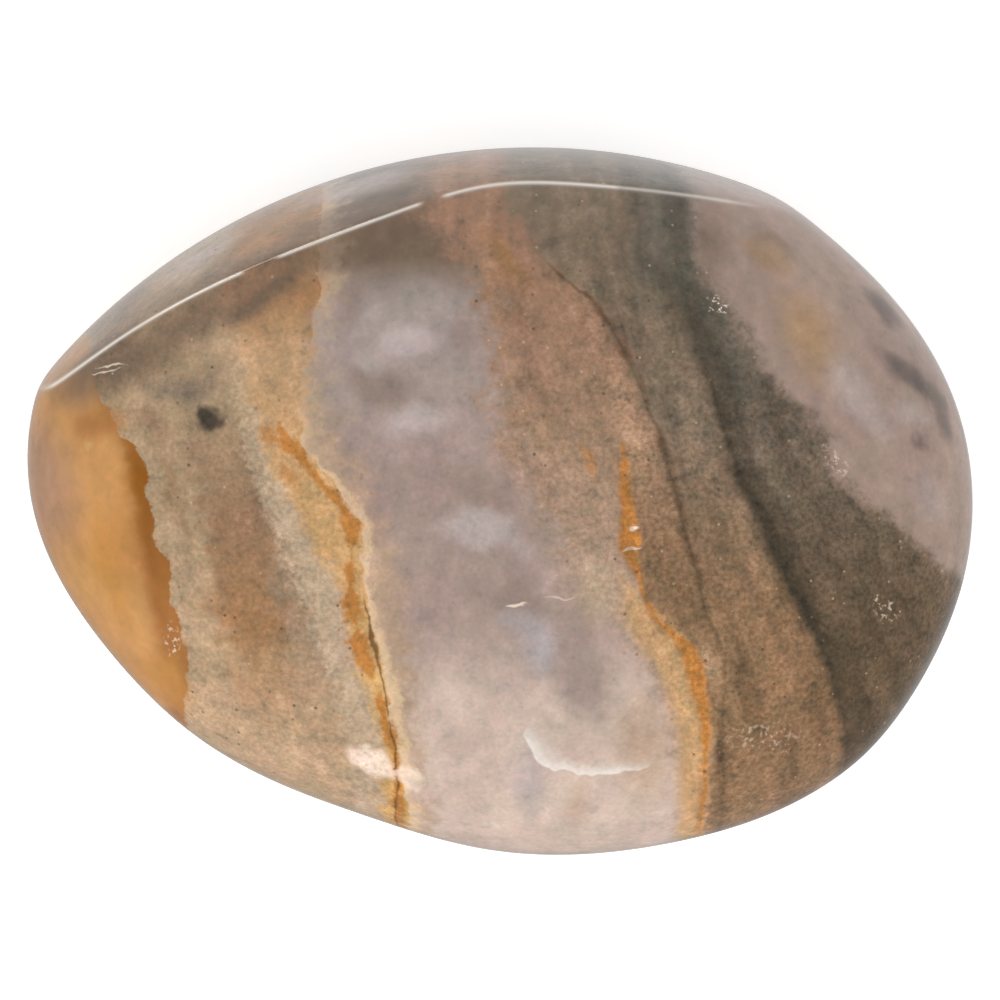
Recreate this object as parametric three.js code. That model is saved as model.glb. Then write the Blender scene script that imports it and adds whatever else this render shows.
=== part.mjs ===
// A tumbled pebble of petrified wood, polished all over: one solid stone.
//
// The pebble is an egg-shaped cushion. Seen from above it is pointed at -X and broad at +X. Two
// faces of the rough rock outlived the tumbling as shallow worn walls: the crown wall along the
// +Y side, which meets the domed face in a thin ridge, and the lower heel wall at +X, -Y. The
// underside is worn to one small flat foot, on which the pebble rests.
//
// Units are millimetres. +Z is up, +X runs along the pebble to its broad end, and the origin is
// on the resting plane, under the centre of the pebble's plan.

import * as THREE from "three";

// ---- Driving dimensions ----

// How far the plan reaches from the middle of the stone, anticlockwise from +X at even steps,
// before the worn walls are cut.
const PLAN_REACH = [
  20.1, 18.3, 16.4, 15.2, 14.4, 17.6, 18.7, 17.5, 17.8, 16.5, 15.3, 14.5, 15.1, 16.5, 18.7, 20.2,
];

// The two cushions that meet at the girdle: their height from it, and how full their shoulders
// are, where 2 is an ellipse and more is squarer.
const DOME = { height: 8.4, fullness: 2.5 };
const BELLY = { height: 8.4, fullness: 2.3 };

// The worn walls. Each is part of a spheroid with this centre, plan radius and half height.
const CROWN_WALL = { centre: [2.5, -12.6, -1.9], radius: 25.7, halfHeight: 21.9 };
const HEEL_WALL = { centre: [0.7, 1.7, -0.6], radius: 20.2, halfHeight: 16 };

// How far the tumbling rounded the ridges between those surfaces: they are crisp on the domed side
// and soft on the underside. The slopes of a ray below the girdle over which that changes.
const RIDGE_ROUNDING = { domed: 0.1, underside: 0.9 };
const ROUNDING_SLOPES = { start: -0.14, end: -0.42 };

// Shallow hollows in the polished surface: where each is, how wide and how deep.
const HOLLOWS = [
  { centre: [-3.5, -12, 5], width: 2.2, depth: 0.1 }, // beside the golden vein's foot
  { centre: [4.8, -11.8, 6], width: 2.6, depth: 0.12 }, // under the grey chalcedony
];

// How far the foot lies below the girdle.
const FOOT_DEPTH = 7.7;

// Each edge of the starting icosahedron is divided into this many facets.
const FACETS_PER_EDGE = 16;

const STONE_COLOUR = 0xa58b76;

// ---- Form ----

// The plan's reach at an angle: the one smooth periodic curve through PLAN_REACH.
function planReach(angle) {
  const count = PLAN_REACH.length;
  return PLAN_REACH.reduce((sum, reach, i) => {
    const half = (angle - (2 * Math.PI * i) / count) / 2;
    const onStep = Math.abs(Math.sin(half)) < 1e-6;
    const share = onStep ? 1 : Math.sin(count * half) / (count * Math.tan(half));
    return sum + reach * share;
  }, 0);
}

// How far a ray from the middle of the stone runs inside the cushion.
function cushionReach(ray) {
  const { height, fullness } = ray.z > 0 ? DOME : BELLY;
  const across = Math.hypot(ray.x, ray.y) / planReach(Math.atan2(ray.y, ray.x));
  const up = Math.abs(ray.z) / height;
  return (across ** fullness + up ** fullness) ** (-1 / fullness);
}

// How far the ray runs inside a worn wall's spheroid, worked out on a sphere of its plan radius.
function wallReach(ray, { centre, radius, halfHeight }) {
  const stretch = new THREE.Vector3(1, 1, radius / halfHeight);
  const direction = ray.clone().multiply(stretch);
  const middle = new THREE.Vector3(...centre).multiply(stretch);
  const along = direction.dot(middle);
  const square = direction.lengthSq();
  const inside = radius ** 2 - middle.lengthSq();
  return (along + Math.sqrt(along ** 2 + square * inside)) / square;
}

// How far the ridges are rounded where a ray meets the surface.
function roundingAt(ray) {
  const { start, end } = ROUNDING_SLOPES;
  const domed = THREE.MathUtils.smoothstep(ray.z, end, start);
  return THREE.MathUtils.lerp(RIDGE_ROUNDING.underside, RIDGE_ROUNDING.domed, domed);
}

// The least of the reaches, with the ridge where two of them cross rounded off.
function roundedLeast(reaches, rounding) {
  const least = Math.min(...reaches);
  const excess = reaches.reduce((sum, reach) => sum + Math.exp((least - reach) / rounding), 0);
  return least - rounding * Math.log(excess);
}

// Sinks a point of the surface towards the middle where a hollow dips.
function sink(point, { centre, width, depth }) {
  const distance = point.distanceTo(new THREE.Vector3(...centre));
  const dip = depth * Math.exp(-((distance / width) ** 2));
  point.setLength(point.length() - dip);
}

// The point of the stone's surface in one direction from its middle.
function surfacePoint(ray) {
  const reaches = [cushionReach(ray), wallReach(ray, CROWN_WALL), wallReach(ray, HEEL_WALL)];
  const point = ray.clone().multiplyScalar(roundedLeast(reaches, roundingAt(ray)));
  HOLLOWS.forEach((hollow) => sink(point, hollow));
  point.z = Math.max(point.z, -FOOT_DEPTH);
  return point;
}

// A ball of even facets with every corner moved out to the stone's surface, standing on its foot.
function stoneGeometry() {
  const geometry = new THREE.IcosahedronGeometry(1, FACETS_PER_EDGE - 1);
  const position = geometry.getAttribute("position");
  const ray = new THREE.Vector3();
  for (let i = 0; i < position.count; i++) {
    ray.fromBufferAttribute(position, i).normalize();
    position.setXYZ(i, ...surfacePoint(ray));
  }
  geometry.computeBoundingBox();
  const middle = geometry.boundingBox.getCenter(new THREE.Vector3());
  geometry.translate(-middle.x, -middle.y, FOOT_DEPTH);
  geometry.computeVertexNormals();
  return geometry;
}

// ---- Assembly ----

const polishedStone = new THREE.MeshStandardMaterial({
  color: STONE_COLOUR,
  roughness: 0.12,
  metalness: 0,
});

const stone = new THREE.Mesh(stoneGeometry(), polishedStone);
stone.name = "stone";

const pebble = new THREE.Group();
pebble.add(stone);

export default pebble;
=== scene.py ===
"""A tumbled pebble of petrified wood, polished all over, lying on a pale table in soft light.

The stone is one solid piece: an egg-shaped cushion with two worn walls and a small flat foot. The
wood's growth layers run across it as bands of agate, sand-like quartz and amber, with two golden
veins. Lengths are millimetres until a mesh or a light is placed, which is done in metres.
"""

import logging
import math
from dataclasses import dataclass
from enum import Enum

import bmesh
import bpy
import numpy as np
from bpy.types import Material, Mesh, Node, NodeSocket, NodeTree, Object
from mathutils import Matrix, Vector, noise


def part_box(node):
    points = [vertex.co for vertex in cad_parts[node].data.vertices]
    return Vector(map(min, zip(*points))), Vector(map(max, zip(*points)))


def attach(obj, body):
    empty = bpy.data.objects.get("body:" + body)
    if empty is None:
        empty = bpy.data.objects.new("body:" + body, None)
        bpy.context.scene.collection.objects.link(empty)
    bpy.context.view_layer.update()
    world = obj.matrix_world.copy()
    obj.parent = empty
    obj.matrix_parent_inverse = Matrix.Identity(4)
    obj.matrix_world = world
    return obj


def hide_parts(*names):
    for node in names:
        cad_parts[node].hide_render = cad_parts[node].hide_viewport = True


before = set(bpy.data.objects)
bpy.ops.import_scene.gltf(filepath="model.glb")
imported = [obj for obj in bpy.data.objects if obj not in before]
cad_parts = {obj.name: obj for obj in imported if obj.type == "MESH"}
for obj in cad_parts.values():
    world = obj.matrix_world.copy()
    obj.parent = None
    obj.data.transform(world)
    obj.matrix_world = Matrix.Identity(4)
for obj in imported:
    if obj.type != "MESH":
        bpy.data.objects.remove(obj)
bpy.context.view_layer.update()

log = logging.getLogger("pebble")

METRES = 0.001  # one millimetre

Point = tuple[float, float]
Place = tuple[float, float, float]
Socket = NodeSocket | float | tuple[float, ...]


def linear(colour: str) -> tuple[float, float, float, float]:
    """Turns an sRGB hex colour into linear light.

    Args:
        colour: Six hex digits, without a leading mark.

    Returns:
        Red, green, blue and a full alpha.
    """
    channels = [int(colour[i : i + 2], 16) / 255 for i in (0, 2, 4)]
    light = [c / 12.92 if c <= 0.04045 else ((c + 0.055) / 1.055) ** 2.4 for c in channels]
    return (light[0], light[1], light[2], 1.0)


def add_node(
    tree: NodeTree,
    kind: str,
    links: dict[int | str, Socket],
    out: int | str = 0,
    **settings: object,
) -> NodeSocket | None:
    """Adds a node with its settings, and fills or links its inputs.

    Args:
        tree: The node tree that gets the node.
        kind: The node's type, without the ShaderNode prefix.
        links: For each input, by number or name, a constant or the output that feeds it.
        out: The output to give back, by number or name.
        **settings: The node's own properties.

    Returns:
        That output, whose node is the new one, or None where the node has no output.
    """
    node = tree.nodes.new("ShaderNode" + kind)
    for name, value in settings.items():
        setattr(node, name, value)
    for key, value in links.items():
        if isinstance(value, NodeSocket):
            tree.links.new(value, node.inputs[key])
        else:
            node.inputs[key].default_value = value
    return node.outputs[out] if node.outputs else None


def set_ramp(ramp: Node, stops: list[tuple[float, tuple[float, ...]]]) -> None:
    """Sets a colour ramp's stops.

    Args:
        ramp: The colour ramp node.
        stops: Each stop's place from 0 to 1, and its colour.
    """
    elements = ramp.color_ramp.elements
    while len(elements) < len(stops):
        elements.new(0.5)
    for element, (place, colour) in zip(elements, sorted(stops)):
        element.position, element.color = place, colour


# ---- The stone's form ----


@dataclass(frozen=True)
class Cushion:
    """One half of the cushion that the pebble is cut from.

    Attributes:
        height: How far it rises from the girdle.
        fullness: How full its shoulder is, where 2 is an ellipse and more is squarer.
    """

    height: float
    fullness: float


@dataclass(frozen=True)
class WornWall:
    """A face of the rough rock that outlived the tumbling, as part of a spheroid.

    Attributes:
        centre: The spheroid's centre, from the middle of the stone.
        radius: Its radius in plan.
        half_height: Its half height.
    """

    centre: Place
    radius: float
    half_height: float

    def reach(self, rays: np.ndarray) -> np.ndarray:
        """Measures how far rays from the middle of the stone run inside the wall.

        Args:
            rays: The rays' unit directions, one a row.

        Returns:
            The distance to the wall along each.
        """
        stretch = np.array([1, 1, self.radius / self.half_height])
        directions, middle = rays * stretch, np.array(self.centre) * stretch
        along, square = directions @ middle, (directions**2).sum(axis=1)
        inside = self.radius**2 - middle @ middle
        return (along + np.sqrt(along**2 + square * inside)) / square


@dataclass(frozen=True)
class Dip:
    """A shallow dip in the polished surface.

    Attributes:
        centre: Its place, from the middle of the stone.
        width: The distance at which it has mostly faded.
        depth: How deep it is.
    """

    centre: Place
    width: float
    depth: float


@dataclass(frozen=True)
class RidgeHighlight:
    """A stretch of the crown ridge with a painted highlight: a pale thread that stands in for the
    strip light's reflection.

    Attributes:
        start: The compass angle at which it starts, in degrees anticlockwise from +X.
        end: The angle at which it ends.
        fade: Over how many degrees it fades at each end.
        strength: How strongly it shows, up to 1.
    """

    start: float
    end: float
    fade: float
    strength: float

    def at(self, angles: np.ndarray) -> np.ndarray:
        """Gives the painted highlight's strength at compass angles in degrees."""
        inside = np.minimum(angles - self.start, self.end - angles) / self.fade
        return self.strength * np.clip(inside + 0.5, 0, 1)


@dataclass(frozen=True)
class StoneForm:
    """The pebble's shape, ray by ray from its middle, which lies in the plane of its girdle.

    Attributes:
        plan: How far the plan reaches, anticlockwise from +X at even steps.
        dome: The cushion above the girdle.
        belly: The cushion below it.
        crown_wall: The worn wall along the +Y side.
        heel_wall: The lower worn wall at +X, -Y.
        domed_rounding: How far the ridges are rounded on the domed side.
        under_rounding: How far they are rounded on the underside.
        rounding_slopes: The slopes of a ray over which the rounding changes.
        foot_depth: How far the flat foot lies below the girdle.
        dips: The hollows and small pits.
        wave_height: How far the polished surface waves in and out.
        wave_length: The length of such a wave.
    """

    plan: tuple[float, ...] = (
        *(20.1, 18.3, 16.4, 15.2, 14.4, 17.6, 18.7, 17.5),
        *(17.8, 16.5, 15.3, 14.5, 15.1, 16.5, 18.7, 20.2),
    )
    dome: Cushion = Cushion(8.4, 2.5)
    belly: Cushion = Cushion(8.4, 2.3)
    crown_wall: WornWall = WornWall((2.5, -12.6, -1.9), 25.7, 21.9)
    heel_wall: WornWall = WornWall((0.7, 1.7, -0.6), 20.2, 16)
    domed_rounding: float = 0.1
    under_rounding: float = 0.9
    rounding_slopes: tuple[float, float] = (-0.42, -0.14)
    foot_depth: float = 7.7
    dips: tuple[Dip, ...] = (
        Dip((-3.5, -12, 5), 2.2, 0.1),  # beside the golden vein's foot
        Dip((4.8, -11.8, 6), 2.6, 0.12),  # under the grey chalcedony
        Dip((6.5, -2.6, 8.2), 0.5, 0.09),  # the pit in the amber vein
        Dip((9.4, 6.5, 7.2), 0.55, 0.06),  # beside the moss line
        Dip((14.5, 0.5, 6.9), 0.6, 0.06),  # in the brown sand
        Dip((16.4, -5.7, 5.8), 0.6, 0.05),  # by the heel
        Dip((-14.3, 3.8, 6.2), 0.6, 0.05),  # above the amber tip
        Dip((0.9, -5.6, 8.2), 0.6, 0.05),  # in the lavender agate
    )
    wave_height: float = 0.02
    wave_length: float = 5.0

    def plan_reach(self, angles: np.ndarray) -> np.ndarray:
        """Gives the plan's reach at each angle: the one smooth periodic curve through the plan.

        Args:
            angles: The compass angles.

        Returns:
            How far the plan reaches at each.
        """
        least = 1e-6  # nearer a step than this, the curve is that step's own reach
        count, total = len(self.plan), np.zeros_like(angles)
        for i, reach in enumerate(self.plan):
            half = (angles - 2 * math.pi * i / count) / 2
            on_step = np.abs(np.sin(half)) < least
            half = np.where(on_step, 1.0, half)
            share = np.sin(count * half) / (count * np.tan(half))
            total += reach * np.where(on_step, 1.0, share)
        return total

    def cushion_reach(self, rays: np.ndarray) -> np.ndarray:
        """Measures how far each ray runs inside the cushion.

        Args:
            rays: The unit directions from the middle of the stone, one a row.

        Returns:
            The distances.
        """
        x, y, z = rays.T
        domed = z > 0
        height = np.where(domed, self.dome.height, self.belly.height)
        fullness = np.where(domed, self.dome.fullness, self.belly.fullness)
        across = np.hypot(x, y) / self.plan_reach(np.arctan2(y, x))
        return (across**fullness + (np.abs(z) / height) ** fullness) ** (-1 / fullness)

    def ridge_gap(self, rays: np.ndarray) -> np.ndarray:
        """Measures how far the cushion lies beyond the crown wall: 0 on the ridge itself."""
        return self.cushion_reach(rays) - self.crown_wall.reach(rays)

    def rounding(self, rays: np.ndarray) -> np.ndarray:
        """Gives how far the ridges are rounded where each ray meets the surface.

        Args:
            rays: The unit directions from the middle of the stone, one a row.

        Returns:
            The rounding of each: crisp on the domed side and soft on the underside.
        """
        low, high = self.rounding_slopes
        share = np.clip((rays[:, 2] - low) / (high - low), 0, 1)
        share = share * share * (3 - 2 * share)
        return self.under_rounding + (self.domed_rounding - self.under_rounding) * share

    def surface(self, rays: np.ndarray) -> np.ndarray:
        """Finds the surface in each direction.

        Args:
            rays: The unit directions from the middle of the stone, one a row.

        Returns:
            The points, from the middle of the stone.
        """
        walls = (self.crown_wall, self.heel_wall)
        reaches = np.stack([self.cushion_reach(rays), *(wall.reach(rays) for wall in walls)])
        rounding, least = self.rounding(rays), reaches.min(axis=0)
        excess = np.exp((least - reaches) / rounding).sum(axis=0)
        points = rays * (least - rounding * np.log(excess))[:, None]
        waves = [noise.noise(Vector(point) / self.wave_length) for point in points]
        depth = self.wave_height * np.array(waves)
        for dip in self.dips:
            distance = np.linalg.norm(points - np.array(dip.centre), axis=1)
            depth += dip.depth * np.exp(-((distance / dip.width) ** 2))
        points -= rays * depth[:, None]
        points[:, 2] = np.maximum(points[:, 2], -self.foot_depth)
        return points


@dataclass(frozen=True)
class StoneMesh:
    """The pebble's mesh: a ball whose rows follow the crown ridge, drawn out to the stone's form.

    Attributes:
        form: The shape.
        pole: The compass angle and elevation of the ball's pole, inside the crown wall, in degrees.
        meridians: How many columns the ball starts with.
        rows: How many rows it starts with, from pole to pole.
        cuts: Into how many more parts each of its edges is then cut.
        wall_rows: How many of the first rows lie on the crown wall.
        crowding: The spacing of the rows at the ridge, as a share of their mean spacing.
        crowd_width: Over what share of the way to a pole the rows are crowded.
        ridge_highlights: The stretches of the ridge that get the painted highlight.
        highlight_width: How wide the painted highlight's pale thread is, as a difference in reach.
        halvings: How many times the span in which the ridge lies is halved to find it.
    """

    form: StoneForm = StoneForm()
    pole: tuple[float, float] = (95.0, -5.0)
    meridians: int = 128
    rows: int = 48
    cuts: int = 3
    wall_rows: int = 17
    crowding: float = 0.15
    crowd_width: float = 0.15
    ridge_highlights: tuple[RidgeHighlight, ...] = (
        RidgeHighlight(139, 169, 1.0, 1.0),
        RidgeHighlight(100.5, 132, 1.5, 0.9),
        RidgeHighlight(62, 95.5, 1.5, 0.9),
        RidgeHighlight(44, 64, 5.0, 0.55),
    )
    highlight_width: float = 0.065
    halvings: int = 30

    def build(self, name: str, middle: Vector) -> Object:
        """Makes the stone's mesh object, standing on its foot.

        Args:
            name: The object's name.
            middle: Where the middle of its plan goes, in metres.

        Returns:
            The new object.
        """
        ball = bmesh.new()
        bmesh.ops.create_uvsphere(
            ball, u_segments=self.meridians, v_segments=self.rows, radius=1.0
        )
        bmesh.ops.subdivide_edges(ball, edges=ball.edges, cuts=self.cuts, use_grid_fill=True)
        # worn holds the painted highlight along the crown ridge, as a share on each vertex.
        worn = ball.verts.layers.float.new("painted_ridge_highlight")
        even = np.array([vert.co.normalized() for vert in ball.verts], dtype=float)
        meridians = np.arctan2(even[:, 1], even[:, 0])
        polars = self._crowded(np.arccos(np.clip(even[:, 2], -1, 1)), self._ridge(meridians))
        rays = self._turned(meridians, polars)
        points, ridge_highlights = self.form.surface(rays), self._highlight_at(rays)
        for vert, point, strength in zip(ball.verts, points, ridge_highlights):
            vert.co = point
            vert[worn] = strength
        self._place(ball, middle)
        bmesh.ops.recalc_face_normals(ball, faces=ball.faces)
        for face in ball.faces:
            face.smooth = True
        mesh = bpy.data.meshes.new(name)
        ball.to_mesh(mesh)
        ball.free()
        stone = bpy.data.objects.new(name, mesh)
        bpy.context.scene.collection.objects.link(stone)
        return stone

    def _turned(self, meridians: np.ndarray, polars: np.ndarray) -> np.ndarray:
        """Gives the rays at angles round and away from the ball's pole.

        Args:
            meridians: The angles round the pole.
            polars: The angles away from it.

        Returns:
            The unit directions, one a row.
        """
        azimuth, elevation = (math.radians(a) for a in self.pole)
        tip = Vector((math.cos(azimuth), math.sin(azimuth), math.tan(elevation)))
        turn = Vector((0, 0, 1)).rotation_difference(tip).to_matrix()
        flat = np.sin(polars)
        local = [flat * np.cos(meridians), flat * np.sin(meridians), np.cos(polars)]
        return np.stack(local, axis=1) @ np.array(turn).T

    def _ridge(self, meridians: np.ndarray) -> np.ndarray:
        """Finds, by halving, where each meridian crosses the ridge.

        Args:
            meridians: The angles round the ball's pole.

        Returns:
            The ridge's angle away from the pole on each.
        """
        inside, outside = np.zeros(len(meridians)), np.full(len(meridians), math.pi)
        for _ in range(self.halvings):
            polars = (inside + outside) / 2
            on_wall = self.form.ridge_gap(self._turned(meridians, polars)) > 0
            inside = np.where(on_wall, polars, inside)
            outside = np.where(on_wall, outside, polars)
        return inside

    def _crowded(self, polars: np.ndarray, ridge: np.ndarray) -> np.ndarray:
        """Moves the rows' polar angles so that the rows crowd at the ridge.

        Args:
            polars: The even polar angles.
            ridge: The ridge's polar angle on the same meridians.

        Returns:
            The moved angles.
        """
        share, on_wall = polars / math.pi, self.wall_rows / self.rows
        wall = ridge * (1 - self._ease(np.clip(1 - share / on_wall, 0, 1)))
        beyond = np.clip((share - on_wall) / (1 - on_wall), 0, 1)
        rest = ridge + (math.pi - ridge) * self._ease(beyond)
        return np.where(share < on_wall, wall, rest)

    def _ease(self, share: np.ndarray) -> np.ndarray:
        """Maps 0 to 1 onto itself, slowly at first.

        Args:
            share: How far each row is from the ridge to the pole, from 0 to 1.

        Returns:
            The moved shares.
        """
        width = self.crowd_width
        curve = (np.hypot(share, width) - width) / (math.hypot(1, width) - width)
        return self.crowding * share + (1 - self.crowding) * curve

    def _highlight_at(self, rays: np.ndarray) -> np.ndarray:
        """Gives how strong the painted ridge highlight is where each ray meets the surface.

        Args:
            rays: The unit directions from the middle of the stone, one a row.

        Returns:
            The painted highlight of each, from 0 to 1.
        """
        angles = np.degrees(np.arctan2(rays[:, 1], rays[:, 0]))
        strength = np.max([ridge_highlights.at(angles) for ridge_highlights in self.ridge_highlights], axis=0)
        near = np.exp(-((self.form.ridge_gap(rays) / self.highlight_width) ** 2))
        return np.where(rays[:, 2] > 0, strength * near, 0.0)

    def _place(self, ball: bmesh.types.BMesh, middle: Vector) -> None:
        """Sets the stone on its foot with its plan about a middle, and turns it into metres.

        Args:
            ball: The stone's mesh in millimetres, about its own middle.
            middle: Where the middle of its plan goes, in metres.
        """
        corners = [[f(v.co[i] for v in ball.verts) for i in (0, 1)] for f in (min, max)]
        off = [(corners[0][i] + corners[1][i]) / 2 for i in (0, 1)]
        bmesh.ops.translate(
            ball, vec=(-off[0], -off[1], self.form.foot_depth), verts=ball.verts
        )
        bmesh.ops.scale(ball, vec=(METRES,) * 3, verts=ball.verts)
        bmesh.ops.translate(ball, vec=(middle.x, middle.y, 0), verts=ball.verts)


# ---- Petrified wood ----


class Mineral(Enum):
    """The colours that iron, manganese and clear quartz gave the wood; some also paint highlights.
    """

    ROSE_SKIN = "b58c70"
    PEACH = "c9955c"
    HONEY = "c68d4a"
    AMBER = "a9713c"
    BURNT_AMBER = "935911"
    STRAW = "cea567"
    TAUPE = "7a6655"
    SMOKE = "6d5f52"
    QUARTZ_SAND = "b2997b"
    ROSE_SAND = "96775d"
    RUST_SAND = "a77f58"
    GREY_SAND = "998067"
    PALE_SAND = "bfa182"
    MOSS_HAZE = "857769"
    MOSS_SPOT = "4d4339"
    LIMEWASH = "bca58b"
    CREAM_GOLD = "c3a07c"
    GOLD = "c9a172"
    ORANGE = "b97c38"
    CREAM = "dcbd9a"
    FAWN = "ba9e86"
    LAVENDER = "a69994"
    CLOUD = "bcaeab"
    MAUVE = "a8938a"
    DUSK = "8b796f"
    SHELL = "ceb9ac"
    WARM_TAN = "9b7a64"
    TAN_PINK = "a0826a"
    PALE_FAWN = "ae9480"
    OLIVE = "7f6f5e"
    BARK = "8b6e52"
    UMBER = "5a4835"
    MOSS = "433a2d"
    SLATE = "635e53"
    GREEN_GREY = "6f6254"
    BROWN_GREY = "645340"
    PINK_AGATE = "a48e82"
    PEACH_AGATE = "b0906f"
    INK = "6c5e59"
    PEARL = "f2e9df"
    CRACK = "6b4a28"
    ICE = "b3a9ac"
    MILK = "f4decb"
    ASH = "a6938a"
    SELVAGE = "9a7855"


class Edge(Enum):
    """How an edge is broken up, as the size of its notches."""

    RAGGED = 0.75
    FRAYED = 0.18


@dataclass(frozen=True)
class Band:
    """One layer of the wood, from its seam with the layer before it towards +X.

    Attributes:
        name: What the layer is.
        seam: The seam's points, each how far along Y and then across X it lies.
        shades: Its colours, each with the Y at which it is purest.
        blend: How wide the seam is.
        ragged: How far the seam wanders.
        sand: How sandy the layer looks, from 0 for clear agate to 1.
        jagged: Whether the seam is a broken line, and not a smooth curve.
    """

    name: str
    seam: tuple[Point, ...]
    shades: tuple[tuple[float, Mineral], ...]
    blend: float = 0.8
    ragged: float = 0.3
    sand: float = 0.5
    jagged: bool = False

    @property
    def frayed(self) -> bool:
        """Whether grains stray over the seam, which they do where it is wide and sandy."""
        return self.sand > SANDY and self.blend > WIDE


@dataclass(frozen=True)
class Vein:
    """A thin layer with two edges.

    Attributes:
        name: What the vein is.
        line: Its middle, as points in Y and then X.
        widths: Its half widths, as points in Y and then half width.
        mineral: Its colour.
        blend: How wide its edges are.
        ragged: How far its edges wander.
        strength: How strongly it covers what is under it.
    """

    name: str
    line: tuple[Point, ...]
    widths: tuple[Point, ...]
    mineral: Mineral
    blend: float = 0.15
    ragged: float = 0.2
    strength: float = 1.0


@dataclass(frozen=True)
class Stain:
    """A cloud, spot or patch, as an ellipsoid.

    Attributes:
        name: What it is.
        centre: Its middle.
        half: Its half sizes along its own axes.
        turn: How far it is turned anticlockwise about Z, in degrees.
        mineral: Its colour.
        strength: How strongly it covers what is under it, up to 1.
        soft: The share of its half size over which it fades.
        ragged: How far its edge wanders, as a share of its half size.
        edge: How a ragged edge is broken up.
    """

    name: str
    centre: Place
    half: Place
    turn: float
    mineral: Mineral
    strength: float = 0.7
    soft: float = 0.7
    ragged: float = 0.0
    edge: Edge = Edge.RAGGED


# A layer frays at its seam if it is sandier, and its seam wider, than this.
SANDY, WIDE = 0.2, 0.3
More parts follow.
